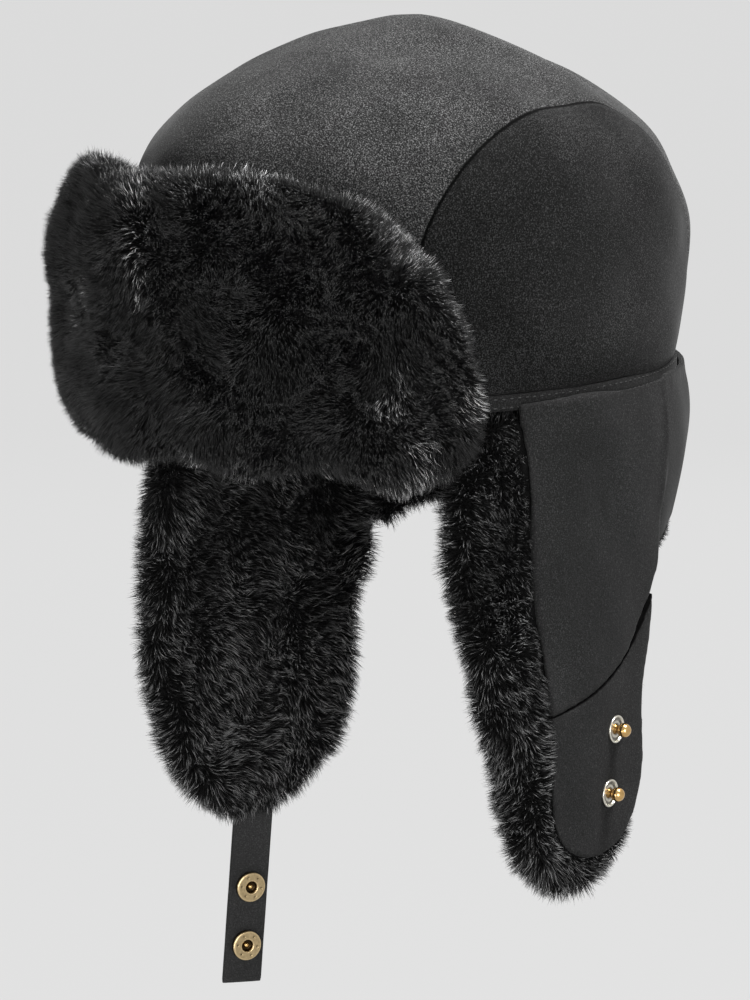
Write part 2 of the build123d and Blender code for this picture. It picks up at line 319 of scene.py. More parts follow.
def crown_form(co, gap):
    """How far the crown's cloth stands off its dome: slack, and its seams drawn in.

    It never sinks as deep as the lining, which would show through."""
    lift = np.zeros(len(co))
    for place, radius, height in SLACK:
        lift += height * spot(co, place, radius)
    return np.maximum(lift - SEAM_DEPTH * np.exp(-(gap / SEAM_WIDTH) ** 2), DEEPEST)


# Melton is a matt, closed nap of black and charcoal fibres with stray pale ones, so the eye
# gets a fine salt-and-pepper grain. It is brushed up on the crown and pressed flat elsewhere.
# Its fibres are 0.03 mm thick, so the grain is drawn as tufts 0.5 mm across to show at all.
# Along a seam the colour is painted near black, as painted shade in the seam's groove.
def melton(name, stops, sheen, gloss):
    """A melton finish with this grain, sheen and gloss."""
    material = finish_named(name)
    grain = noise(material, 0.00048, 1.0)
    cloud = noise(material, 0.035, 4.0)
    mixed = add(material, "ShaderNodeMath", {"operation": "MULTIPLY_ADD", 1: 0.22}, {0: cloud, 2: grain})
    tint = ramp(material, mixed.outputs[0], stops)
    # Painted shade: near a seam the colour is multiplied down to near black.
    seam_shade = ramp(material, stored(material, "seam"), [(0.915, "#ffffff"), (0.96, "#2a2a2a")])
    both = add(material, "ShaderNodeMixRGB", {"blend_type": "MULTIPLY", "Fac": 1.0},
               {"Color1": tint, "Color2": seam_shade})
    nap = noise(material, 0.0014, 3.0)
    return surfaced(material, {"Roughness": 0.95, "Specular IOR Level": gloss, "Sheen Weight": sheen,
                               "Sheen Roughness": 0.45, "Sheen Tint": linear("#c9c9c9")},
                    {"Base Color": both.outputs["Color"], "Normal": bumps(material, nap, 0.3, 0.0003)})


brushed_melton = melton("black_melton_wool_brushed_up", [(0.42, "#0a0a0a"), (0.56, "#1c1c1c"),
                                                         (0.68, "#2e2e2e"), (0.80, "#585858")],
                        sheen=0.10, gloss=0.05)
# The side panels are painted darker than the centre panel, as painted shade: they catch less light, their
# nap running the other way.
shaded_side_melton = melton("black_melton_wool_painted_shade_side", [(0.42, "#080808"), (0.56, "#101010"),
                                                        (0.68, "#1b1b1b"), (0.80, "#353535")],
                     sheen=0.07, gloss=0.03)
pressed_melton = melton("black_melton_wool_pressed", [(0.40, "#141414"), (0.60, "#1c1c1c"),
                                                      (0.73, "#242424"), (0.84, "#363636")],
                        sheen=0.06, gloss=0.03)
# The strap's melton is a little paler than the flaps'.
folded_melton = melton("black_melton_wool_folded", [(0.40, "#242424"), (0.60, "#2b2b2b"),
                                                    (0.73, "#323232"), (0.84, "#404040")],
                       sheen=0.06, gloss=0.03)

# The three panels are one even skin that is then cut along the seams, so no gap opens there.
PANELS = ["crown_center_panel", "crown_side_panel_left", "crown_side_panel_right"]
CROWN_MIDDLE = (0, 0, 0.03)
whole = soft_cloth("crown_whole", PANELS, size=0.0010, rounds=4, dents=0.0008, seed=11,
                   material=shaded_side_melton, slot="wool")
co = corners_of(whole.data)
out = normals_of(whole.data)
flush = on_skin(tree_of(PANELS), co, out)
found = [gap_and_share(tree_of([node]), flush, out) for node in PANELS]
gaps, shares = (np.stack([pair[k] for pair in found], 1) for k in (0, 1))
order, rows = gaps.argsort(axis=1), np.arange(len(co))
owner, beside = order[:, 0], order[:, 1]
gap = np.minimum((gaps[rows, beside] - gaps[rows, owner]) / shares[rows, beside], SEAM_REACH)
outward = np.sign((out * (co - CROWN_MIDDLE)).sum(axis=1))
co += out * (outward * crown_form(co, gap))[:, None]
move_to(whole, co)
owners = np.array([owner[polygon.vertices[0]] for polygon in whole.data.polygons])
for number, node in enumerate(PANELS):
    finish = brushed_melton if number == 0 else shaded_side_melton
    panel, used = part_of(whole, f"{node}_wool", owners == number, finish, "wool")
    mark_painted_seam_shade(panel, gap[used])
    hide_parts(node)
    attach(panel, "crown")
bpy.data.objects.remove(whole)


# The crown band: a narrow strip of the same melton round the crown's lower edge. It is sewn
# along both edges with a matching thread that sinks into the nap and leaves small pricks.
band = soft_cloth("crown_band_wool", ["crown_band"], size=0.0008, rounds=2, dents=0.0001, seed=41,
                  material=pressed_melton, slot="wool")
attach(band, "crown")

# Stitches: black polyester thread, slightly shiny, in stitches 2 mm long every 3.2 mm.
thread = surfaced(finish_named("black_polyester_thread_shiny"),
                  {"Base Color": linear("#202020"), "Roughness": 0.5, "Specular IOR Level": 0.4})
STITCH_LENGTH, STITCH_THICKNESS, STITCH_PITCH = 0.0020, 0.00042, 0.0032
THREAD_SIDES, THREAD_PARTS = 6, 4


def tube_faces(start, rows, around):
    """The faces of a tube of this many rows, whose rings of vertices follow each other."""
    faces = []
    for row in range(rows):
        for k in range(around):
            a, b = start + row * around + k, start + row * around + (k + 1) % around
            faces.append((a, b, b + around, a + around))
    return faces


def stitches(name, places):
    """A row of stitches: each lies from a place along its direction, sunk where it enters."""
    vertices, faces = [], []
    for middle, along, out in places:
        beside = along.cross(out)
        faces += tube_faces(len(vertices), THREAD_PARTS, THREAD_SIDES)
        for step in range(THREAD_PARTS + 1):
            share = step / THREAD_PARTS * 2 - 1
            sunk = 0.6 * STITCH_THICKNESS * share * share
            centre = middle + along * (share * STITCH_LENGTH / 2) - out * sunk
            size = STITCH_THICKNESS / 2 * (1 - 0.5 * share * share)
            for k in range(THREAD_SIDES):
                angle = 2 * math.pi * k / THREAD_SIDES
                vertices.append(centre + beside * (size * math.cos(angle)) + out * (size * math.sin(angle)))
    return piece(name, vertices, faces, thread, "wool")


# Rays from outside the hat find each row's places.
band_tree = tree_of(["crown_band"])
OUTSIDE, PULLED_IN = 0.3, 0.00005
for name, level in (("crown_band_stitches_upper", -0.0014), ("crown_band_stitches_lower", -0.0046)):
    row, travelled, last = [], 0.0, None
    for step in range(4 * 360):
        angle = math.radians(step / 4)
        aim = Vector((math.cos(angle), math.sin(angle), 0))
        hit, out, _, _ = band_tree.ray_cast(aim * OUTSIDE + Vector((0, 0, level)), -aim)
        travelled += (hit - last).length if last is not None else 0.0
        if last is not None and travelled > STITCH_PITCH:
            row.append((hit - out * PULLED_IN, (hit - last).normalized(), out))
            travelled = 0.0
        last = hit
    sewn = stitches(name, row)
    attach(sewn, "crown")


# The lining: black quilted satin in three panels that follow the crown's. Diamonds 22 mm wide
# are stitched through a thin wadding, so each one swells a little between its lines.
satin = finish_named("black_polyester_satin_quilted")
weave = noise(satin, 0.0012, 2.0)
surfaced(satin, {"Roughness": 0.42, "Specular IOR Level": 0.5},
         {"Base Color": ramp(satin, weave, [(0.35, "#141414"), (0.65, "#1f1f1f")]),
          "Normal": bumps(satin, weave, 0.25, 0.0002)})

# The size of a diamond, how deep its lines are drawn in, the head's width over its length, and
# the radii that turn angles round and up the head into metres.
DIAMOND, QUILT_DEPTH = 0.022, 0.0012
HEAD_SHAPE, HEAD_ROUND, HEAD_UP = 0.85, 0.098, 0.115


def quilt(made):
    """Draws an object's inner skin in along two crossing sets of stitched lines."""
    co = corners_of(made.data)
    turn = np.arctan2(co[:, 1], co[:, 0]) * HEAD_ROUND
    slope = np.hypot(np.hypot(co[:, 0] / HEAD_SHAPE, co[:, 1]), co[:, 2])
    rise = np.arcsin(np.clip(co[:, 2] / np.maximum(slope, 0.001), -1, 1)) * HEAD_UP
    puff = np.abs(np.sin(np.pi * (turn + rise) / DIAMOND) * np.sin(np.pi * (turn - rise) / DIAMOND))
    move_to(made, co - normals_of(made.data) * (QUILT_DEPTH * (1 - puff) ** 3)[:, None])


for solid, name in (("lining_center_panel", "lining_center_panel_satin"),
                    ("lining_side_panel_left", "lining_side_panel_satin_left"),
                    ("lining_side_panel_right", "lining_side_panel_satin_right")):
    panel = soft_cloth(name, [solid], size=0.0013, rounds=3, dents=0.0001, seed=51,
                       material=satin, slot="lining")
    quilt(panel)
    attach(panel, "crown")


# The sweatband: a ribbed grosgrain ribbon 27 mm tall sewn inside the head opening. Its ribs
# stand 1.6 mm apart, coarser than the real 1 mm so that they show.
grosgrain = finish_named("black_cotton_grosgrain_ribbed")
BAND_RADIUS, RIB_PITCH = 94, 1.6  # mm
place = add(grosgrain, "ShaderNodeTexCoord").outputs["Object"]
parts = add(grosgrain, "ShaderNodeSeparateXYZ", None, {"Vector": place})
bearing = add(grosgrain, "ShaderNodeMath", {"operation": "ARCTAN2"},
              {0: parts.outputs["Y"], 1: parts.outputs["X"]})
ribs = add(grosgrain, "ShaderNodeMath", {"operation": "MULTIPLY", 1: 2 * math.pi * BAND_RADIUS / RIB_PITCH},
           {0: bearing.outputs[0]})
wave = add(grosgrain, "ShaderNodeMath", {"operation": "SINE"}, {0: ribs.outputs[0]}).outputs[0]
# Painted shade: the colour follows the ribs, darker in the troughs between them.
surfaced(grosgrain, {"Roughness": 0.7, "Specular IOR Level": 0.35},
         {"Base Color": ramp(grosgrain, wave, [(0.0, "#0e0e0e"), (0.8, "#1d1d1d")]),
          "Normal": bumps(grosgrain, wave, 0.6, 0.0004)})
sweatband = soft_cloth("sweatband_grosgrain", ["sweatband"], size=0.0007, rounds=2, dents=0.0001,
                       seed=61, material=grosgrain, slot="sweatband")
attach(sweatband, "crown")


# The solids part at the joint: the ear flap's end at one y and the neck curtain's start at the
# other. Here they meet or overlap. The cloth's top edge is tucked up behind the band.
FLAP_END, CURTAIN_START = 0.0465, 0.0475
CLOTH_JOIN = 0.0482
FLAP_PAD_END, CURTAIN_PAD_START = 0.0505, 0.0435
TOP_EDGE, TUCK = -0.0078, 0.0040


def at_plane(vertices, y):
    """Which vertices lie on the plane at this y."""
    return np.abs(vertices[:, 1] - y) < 0.0003


def close_gap(vertices):
    """Brings the ear flap's rear edge back to the neck curtain, and both up behind the band."""
    moved = vertices.copy()
    moved[at_plane(moved, FLAP_END), 1] = CLOTH_JOIN
    moved[moved[:, 2] > TOP_EDGE, 2] += TUCK
    return moved


for side in ("left", "right"):
    cloth = soft_cloth(f"side_cloth_wool_{side}",
                       [f"ear_flap_wool_{side}", f"neck_curtain_wool_{side}"], size=0.0009, rounds=5,
                       dents=0.0006, seed=71, material=pressed_melton, slot="wool", mend=close_gap)
    mark_painted_seam_shade(cloth, gap_to(tree_of([f"chin_piece_{side}"]), corners_of(cloth.data)))
    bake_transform(cloth)
    chin = soft_cloth(f"chin_piece_wool_{side}", [f"chin_piece_{side}"], size=0.0009, rounds=4,
                      dents=0.0004, seed=81, material=pressed_melton, slot="wool")
    mark_painted_seam_shade(chin, gap_to(tree_of([f"ear_flap_wool_{side}"]), corners_of(chin.data)))
    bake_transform(chin)


# The fur of the ear flaps and neck curtain: black faux fur, a knit backing with a dense pile
# 7 to 9 mm long and sparser guard hairs. It lines the inside and rolls round the edges, where
# the wool is sewn over it and the pile spills out from under the wool. Each hair is a smooth
# acrylic filament dyed black. The dense underfur is dull and near black. The thicker guard
# hairs give small hard glints where they lie across the light. Every hair is painted darker at
# its root, as painted shade deep in the pile, and paler at its tip, as a painted highlight,
# palest on the guard hairs.
UNDER_HAIR, GUARD_HAIR = 0.00025, 0.00029


def acrylic(name, stops, roughness, specular):
    """A pile finish whose colour changes from a hair's root to its tip: the dark root is painted shade deep
    in the pile and the pale tip a painted highlight.
    """
    material = finish_named(name)
    tint = ramp(material, stored(material, "height"), stops)
    return surfaced(material, {"Roughness": roughness, "Specular IOR Level": specular, "IOR": 1.5},
                    {"Base Color": tint})


underfur = acrylic("black_acrylic_underfur_dull",
                   [(0.0, "#020202"), (0.5, "#060606"), (0.9, "#181818")],
                   roughness=0.6, specular=0.10)
guard_hair = acrylic("black_acrylic_guard_hair_glossy_painted_glints",
                     [(0.0, "#020202"), (0.4, "#080808"), (0.75, "#383838"), (1.0, "#cccccc")],
                     roughness=0.28, specular=0.5)
soft_guard_hair = acrylic("black_acrylic_guard_hair_soft_painted_glints",
                          [(0.0, "#040404"), (0.4, "#161616"), (0.75, "#424242"), (1.0, "#808080")],
                          roughness=0.36, specular=0.4)

# Knit backing: a matt black stubble of cut loops that only shows deep between the hairs.
knit = finish_named("black_knit_backing_matt")
stubble = noise(knit, 0.0012, 3.0)
surfaced(knit, {"Roughness": 0.95, "Specular IOR Level": 0.1},
         {"Base Color": ramp(knit, stubble, [(0.35, "#050505"), (0.75, "#101010")]),
          "Normal": bumps(knit, stubble, 1.0, 0.001)})


def unit(rows):
    """Rows of vectors, each made one long."""
    return rows / np.maximum(np.linalg.norm(rows, axis=1), 1e-9)[:, None]


# The backing's quads, how near the wool's edge its pile starts to spill, how close under the
# wool it counts as covered, how far its edges may be rounded off, and its least depth.
BACKING_SIZE = 0.003
SPILL_REACH, UNDER_WOOL = 0.012, 0.0012
MOST_ROUNDED, LEAST_DEPTH = 0.0035, 0.0004


def fur_backing(name, nodes, wool, depth, spill, fringe, lumps, seed, fold=None, mend=None):
    """A fur pad's knit backing, set in by the pile's depth where bare, and facts on its vertices.

    The hairs stand past the pad's own surface by the spill, and by the fringe more where they
    come out from under the wool, but less at a rear edge, where they are trimmed. The facts are
    how far each vertex is covered by wool, how near the wool's edge is, how long the hairs are
    and which way that edge lies."""
    vertices, faces = joined(nodes)
    if mend is not None:
        vertices = mend(vertices)
    pad = BVHTree.FromPolygons([tuple(v) for v in vertices], faces)
    made = even_mesh(piece(name, vertices, faces, knit, "fur"), BACKING_SIZE)
    mesh = made.data
    co = relax(mesh, corners_of(mesh), 3)
    move_to(made, co)
    out = unit(relax(mesh, normals_of(mesh), 4))
    covered, near, rounded = np.zeros(len(co)), np.zeros(len(co)), np.zeros(len(co))
    towards = np.zeros((len(co), 3))
    for i, (point, normal) in enumerate(zip(co, out)):
        rounded[i] = min(pad.find_nearest(Vector(point))[3], MOST_ROUNDED)
        hit, _, _, distance = wool.find_nearest(Vector(point), SPILL_REACH)
        if hit is None:
            continue
        if distance < UNDER_WOOL or (hit - Vector(point)).dot(Vector(normal)) > 0.6 * distance:
            covered[i] = 1
        else:
            near[i] = 1 - distance / SPILL_REACH
            towards[i] = hit - Vector(point)
    inset = depth * (1 - near) ** 0.7 * (1 - covered) + LEAST_DEPTH
    sunk = relax(mesh, inset, 1)
    inset = relax(mesh, inset - rounded, 1)
    inset += lumps * (1 - covered) * (wander(co, 0.045, seed) + 0.6 * wander(co, 0.02, seed + 1))
    if fold is not None:
        inset += fold(co) * (1 - covered)
    co -= out * inset[:, None]
    move_to(made, relax(mesh, co, 3))
    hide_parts(*nodes)
    trimmed = np.clip(-unit(towards)[:, 1], 0, 1) * near
    reach = sunk + spill * (1 - 0.3 * trimmed) + fringe * near * (1 - trimmed)
    facts = np.column_stack([relax(mesh, covered, 1), relax(mesh, near, 2), reach, unit(towards)])
    return made, facts


# Over what lengths the pile drifts, clumps and grows longer or shorter, how strongly it does,
# how deep it is rooted, and how many hairs share a row of the bake layout.
DRIFT, CLUMP, GROWTH = 0.032, 0.0055, 0.012
DRIFT_SHARE, CLUMP_SHARE, STRAY_SHARE, GROWTH_SHARE = 1.3, 0.28, 0.12, 0.07
ROOT_DEPTH = 0.0006
HAIRS_IN_ROW = 256


def scattered(triangles, area, chance, count):
    """Seeded places on a mesh: the corners round each one and their weights."""
    picked = triangles[chance.choice(len(area), count, p=area / area.sum())]
    u, v = chance.random(count), chance.random(count)
    u, v = np.where(u + v > 1, 1 - u, u), np.where(u + v > 1, 1 - v, v)
    return picked, np.stack([1 - u - v, u, v], 1)[:, :, None]


def pile(name, skin, facts, count, finish, comb, sheen, lean, seed, inside):
    """Seeded hairs on a backing, each a tapered three-sided shaft that leans with the comb.

    The sheen says how pale the hairs' ends are painted at each root, as painted highlights."""
    mesh, guard = skin.data, finish is not underfur
    mesh.calc_loop_triangles()
    triangles = np.empty(len(mesh.loop_triangles) * 3, np.int64)
    mesh.loop_triangles.foreach_get("vertices", triangles)
    triangles = triangles.reshape(-1, 3)
    co, out = corners_of(mesh), normals_of(mesh)
    a, b, c = (co[triangles[:, i]] for i in range(3))
    area = np.linalg.norm(np.cross(b - a, c - a), axis=1) / 2
    bare = facts[:, 0][triangles].mean(axis=1) < 0.75
    area = np.where(bare & inside((a + b + c) / 3), area, 0)
    chance = np.random.default_rng(seed)
    picked, weights = scattered(triangles, area, chance, count)
    root = (co[picked] * weights).sum(1)
    up = unit((out[picked] * weights).sum(1))
    about = (facts[picked] * weights).sum(1)
    near, reach, towards = about[:, 1], about[:, 2], about[:, 3:6]
    drift = np.stack([wander(root, DRIFT, seed % 10 + i) for i in (1, 2, 3)], 1)
    clump = np.stack([wander(root, CLUMP, seed + i) for i in (4, 5, 6)], 1)
    stray = chance.normal(size=(count, 3))
    way = lean * (comb(root) + DRIFT_SHARE * drift) + CLUMP_SHARE * clump + STRAY_SHARE * stray
    way += (near ** 1.5)[:, None] * towards
    way -= up * (way * up).sum(1)[:, None]
    reach *= chance.uniform(0.84, 1.08, count) * (1 + GROWTH_SHARE * wander(root, GROWTH, seed + 7))
    first, second = unit(up + 0.5 * way), unit(up + 1.2 * way)
    low = root - up * ROOT_DEPTH
    half = low + first * (reach * 0.55)[:, None]
    tip = half + second * (reach * 0.5)[:, None]
    across = unit(np.cross(second, chance.normal(size=(count, 3))))
    other = np.cross(second, across)
    width = (GUARD_HAIR if guard else UNDER_HAIR) * chance.uniform(0.75, 1.2, count)
    turns = [2 * math.pi * k / 3 for k in range(3)]
    ring = [(across * math.cos(t) + other * math.sin(t)) * (width * 0.5)[:, None] for t in turns]
    # Each hair's tone, random and times the sheen, sets how pale its tip is painted, as a painted
    # highlight.
    if guard:
        stack = np.stack([low + r for r in ring] + [half + r * 0.85 for r in ring] + [tip], 1)
        pattern = [(0, 1, 4), (0, 4, 3), (1, 2, 5), (1, 5, 4), (2, 0, 3), (2, 3, 5),
                   (3, 4, 6), (4, 5, 6), (5, 3, 6)]
        levels = np.array([0, 0, 0, 0.55, 0.55, 0.55, 1.0])
        tone = (0.38 + 0.90 * chance.random(count) ** 2.0) * sheen(root)
    else:
        stack = np.stack([low + r for r in ring] + [half * 0.3 + tip * 0.7], 1)
        pattern = [(0, 1, 3), (1, 2, 3), (2, 0, 3)]
        levels = np.array([0, 0, 0, 0.85])
        tone = chance.uniform(0.5, 1.0, count) * (0.5 + 0.5 * sheen(root))
    per = stack.shape[1]
    faces = (per * np.arange(count)[:, None, None] + np.array(pattern)[None]).reshape(-1, 3)
    cell = (np.arange(count) % HAIRS_IN_ROW)[:, None] + np.array([0.1, 0.5, 0.9] * 3)[:per][None]
    row = (np.arange(count) // HAIRS_IN_ROW)[:, None] + 0.1 + 0.8 * levels[None]
    spots = np.stack([cell / HAIRS_IN_ROW, row / (count // HAIRS_IN_ROW + 1)], 2).reshape(-1, 2)
    hairs = bpy.data.meshes.new(name)
    hairs.vertices.add(count * per)
    hairs.vertices.foreach_set("co", stack.ravel())
    hairs.loops.add(faces.size)
    hairs.loops.foreach_set("vertex_index", faces.ravel())
    hairs.polygons.add(len(faces))
    hairs.polygons.foreach_set("loop_start", np.arange(0, faces.size, 3))
    hairs.update(calc_edges=True)
    hairs.shade_smooth()
    layout = hairs.uv_layers.new(name="OFBake")
    layout.data.foreach_set("uv", spots[faces.ravel()].ravel().astype(np.float32))
    hairs.materials.append(finish)
    made = bpy.data.objects.new(name, hairs)
    # The colour's place along each hair: 0 at the root, painted dark as shade, up to the tone at the tip,
    # painted pale as a highlight.
    store(made, "height", (levels[None] * tone[:, None]).ravel())
    bpy.context.scene.collection.objects.link(made)
    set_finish(made, "fur")
    return made


QUICK_SHARE = 1.0


def two_coats(name, skin, facts, counts, finish, comb, sheen, lean, seed, inside):
    """The dense underfur and the sparser guard hairs that grow on one backing.

    The name holds {} where underfur or guard_hair goes."""
    under = pile(name.format("underfur"), skin, facts, int(counts[0] * QUICK_SHARE), underfur,
                 comb, sheen, lean, seed, inside)
    guard = pile(name.format("guard_hair"), skin, facts, int(counts[1] * QUICK_SHARE), finish,
                 comb, sheen, lean, seed + 10, inside)
    return under, guard


def comb_down(root):
    """The ear flaps' and neck curtain's pile lies slightly downwards."""
    return np.tile([0.0, 0.0, -0.6], (len(root), 1))


def flap_sheen(root):
    """The ear flaps' and neck curtain's hair tips are painted paler towards the chin and in patches, as
    painted highlights from light below.
    """
    # Painted light from below: the tips grow paler towards the chin.
    worn = np.clip((-root[:, 2] - 0.070) / 0.090, 0, 1)
    highlight_patches = np.clip(wander(root, 0.030, 201), -0.5, 1.6)
    return 0.96 + 0.60 * worn + 0.30 * highlight_patches


def past_joint(vertices):
    """Runs an ear flap's pad and the neck curtain's a little into each other at their joint."""
    moved = vertices.copy()
    moved[at_plane(vertices, FLAP_END), 1] = FLAP_PAD_END
    moved[at_plane(vertices, CURTAIN_START), 1] = CURTAIN_PAD_START
    return moved


def everywhere(points):
    """No part of the backing is left out."""
    return np.full(len(points), True)


for side in ("left", "right"):
    solid = f"ear_flap_fur_{side}"
    wool = tree_of([f"ear_flap_wool_{side}", f"chin_piece_{side}"])
    skin, facts = fur_backing(f"{solid}_backing", [solid], wool, depth=0.0056, spill=0.0018,
                              fringe=0.0022, lumps=0.0009, seed=101, mend=past_joint)
    coats = two_coats(solid + "_{}", skin, facts, (70000, 26000), soft_guard_hair, comb_down,
                      flap_sheen, lean=0.34, seed=111, inside=everywhere)
    for made in (skin, *coats):
        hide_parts(solid)
        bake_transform(made)


def left_half(points):
    """The part on the wearer's left."""
    return points[:, 0] > 0


def right_half(points):
    """The part on the wearer's right."""
    return points[:, 0] <= 0


def halve(whole, facts, name, half):
    """One half of a backing, cut off at the middle, with the facts on its own vertices."""
    co = corners_of(whole.data)
    middles = np.array([co[list(face.vertices)].mean(axis=0) for face in whole.data.polygons])
    made, used = part_of(whole, name, half(middles), knit, "fur")
    return made, facts[used]


wool = tree_of(["neck_curtain_wool_left", "neck_curtain_wool_right"])
whole, whole_facts = fur_backing("neck_whole", ["neck_curtain_fur"], wool, depth=0.0052, spill=0.0020,
                                 fringe=0.0004, lumps=0.0009, seed=131, mend=past_joint)
for side, half in (("left", left_half), ("right", right_half)):
    skin, facts = halve(whole, whole_facts, f"neck_curtain_fur_backing_{side}", half)
    coats = two_coats("neck_curtain_fur_{}_" + side, skin, facts, (40000, 13000), soft_guard_hair,
                      comb_down, flap_sheen, lean=0.34, seed=141, inside=half)
    for made in (skin, *coats):
        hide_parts("neck_curtain_fur")
        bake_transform(made)
bpy.data.objects.remove(whole)


# The front flap: a thick fur pad turned up against the brow, with melton on the side that
# faces the crown. It is sewn to the band at its lower edge.
def bell(values, middle, width):
    """1 at the middle value, falling off over about two of these widths."""
    return np.exp(-((values - middle) / width) ** 2)


def creased(co):
    """Soft hollows pressed into the front pile, either side of a ridge and at the middle.

    Each lies at an angle in degrees round the brow from the wearer's left, and has a width."""
    along = np.degrees(np.arctan2(-co[:, 1], co[:, 0]))
    low = np.clip((0.055 - co[:, 2]) / 0.04, 0, 1)
    hollow = 0.0030 * bell(along, 60, 5.5) + 0.0026 * bell(along, 36, 4)
    hollow += 0.0022 * bell(along, 112, 8) + 0.0018 * bell(along, 84, 6)
    ridge = 0.0022 * bell(along, 48, 4) + 0.0016 * bell(along, 98, 5)
    return (hollow - ridge) * low


def comb_front(root):
    """The front pile parts above the middle: it leans to the ends, up at the top, down below."""
    ends = np.clip(root[:, 0] / 0.05, -1, 1)
    return np.stack([0.5 * ends, 0 * ends, np.clip((root[:, 2] - 0.045) / 0.045, -0.8, 0.5)], 1)


# Painted highlights: where the front pile's tips are painted pale, on ridges and swirls: (place, radius,
# amount).
PAINTED_HIGHLIGHTS = [
    ((-0.003, -0.138, 0.070), 0.009, 0.95), ((0.000, -0.140, 0.060), 0.008, 1.10),
    ((0.002, -0.141, 0.049), 0.008, 1.00), ((0.003, -0.141, 0.038), 0.007, 0.70),
    ((0.031, -0.138, 0.044), 0.007, 1.00), ((0.035, -0.137, 0.037), 0.007, 1.00),
    ((0.042, -0.134, 0.026), 0.006, 1.20), ((0.041, -0.134, 0.019), 0.006, 0.90),
    ((0.035, -0.136, 0.008), 0.007, 0.70), ((0.028, -0.136, -0.001), 0.008, 0.80),
    ((0.017, -0.138, -0.004), 0.010, 0.60), ((-0.004, -0.142, 0.011), 0.014, 0.40),
    ((-0.040, -0.135, 0.034), 0.020, 0.50), ((-0.078, -0.102, 0.052), 0.024, 0.50),
    ((0.072, -0.118, 0.027), 0.005, 0.70), ((0.073, -0.116, 0.015), 0.006, 0.80),
    ((0.091, -0.101, 0.026), 0.005, 1.20), ((0.091, -0.100, 0.017), 0.006, 1.40),
    ((0.090, -0.100, 0.008), 0.006, 1.30), ((0.088, -0.102, 0.002), 0.007, 1.10),
    ((0.082, -0.108, 0.006), 0.006, 0.80), ((0.077, -0.110, -0.004), 0.007, 0.70),
    ((0.081, -0.102, 0.060), 0.007, 0.80), ((0.090, -0.094, 0.052), 0.007, 0.80),
    ((0.092, -0.076, 0.044), 0.008, 1.10), ((0.095, -0.070, 0.034), 0.008, 1.10),
    ((0.102, -0.072, 0.024), 0.009, 1.00), ((0.101, -0.066, 0.006), 0.010, 1.00),
    ((0.104, -0.078, -0.001), 0.009, 0.90), ((0.095, -0.089, -0.012), 0.010, 0.80),
]


def front_sheen(root):
    """The front pile's tips are painted near black between its ridges, as painted shade, and pale along the
    top, the foot and the listed spots, as painted highlights.
    """
    along = np.degrees(np.arctan2(-root[:, 1], root[:, 0]))
    foot = -0.024
    top = np.interp(np.abs(along - 90), [0, 35, 47, 54, 61], [0.083, 0.080, 0.066, 0.050, 0.010])
    pale = 0.22 + 0.75 * bell(root[:, 2], top, 0.010)
    pale += 0.70 * bell(root[:, 2], foot, 0.009)
    for place, radius, amount in PAINTED_HIGHLIGHTS:
        pale += amount * spot(root, place, radius)
    return pale + 0.24 * np.clip(wander(root, 0.022, 211), 0, 1.5)


cloth = soft_cloth("front_flap_wool_back", ["front_flap_wool"], size=0.0012, rounds=4, dents=0.0005,
                   seed=161, material=pressed_melton, slot="wool")
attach(cloth, "front_flap")
wool = tree_of(["front_flap_wool"])
whole, whole_facts = fur_backing("front_whole", ["front_flap_fur"], wool, depth=0.0062, spill=0.0016,
                                 fringe=0.0012, lumps=0.0011, seed=171, fold=creased)
for side, half, sign in (("left", left_half, 1), ("right", right_half, -1)):
    skin, facts = halve(whole, whole_facts, f"front_flap_fur_backing_{side}", half)
    coats = two_coats("front_flap_fur_{}_" + side, skin, facts, (80000, 34000), guard_hair,
                      comb_front, front_sheen, lean=0.40, seed=181, inside=half)
    for made in (skin, *coats):
        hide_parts("front_flap_fur")
        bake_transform(made)
bpy.data.objects.remove(whole)


# The press snaps: two ball studs on the wearer's left flap and two sockets on the strap. They
# are turned and stamped from brass, antiqued brown and rubbed bright on the raised edges.
def metal(name, deep, worn, roughness):
    """A brass finish: brown in the hollows, worn bright on the edges, lightly spotted."""
    material = finish_named(name)
    spots = noise(material, 0.0011, 4.0)
    mixed = add(material, "ShaderNodeMath", {"operation": "MULTIPLY_ADD", 1: 0.5},
                {0: spots, 2: stored(material, "worn")})
    tint = ramp(material, mixed.outputs[0], [(0.10, deep), (0.95, worn)])
    return surfaced(material, {"Metallic": 1.0, "Roughness": roughness},
                    {"Base Color": tint, "Normal": bumps(material, spots, 0.3, 0.0001)})


antique_brass = metal("antique_brass_rubbed", "#2e2416", "#cdb68c", 0.34)
polished_brass = metal("antique_brass_ball_polished", "#7a5a2c", "#d6b074", 0.20)
pale_brass = metal("pale_nickel_washed_brass", "#4a463e", "#d8d4c8", 0.28)

MM = 0.001
SPIN_STEPS = 72
PIT_RADIUS, PIT_DEPTH, PIT_GRIME = 0.36, 0.32, 2.2


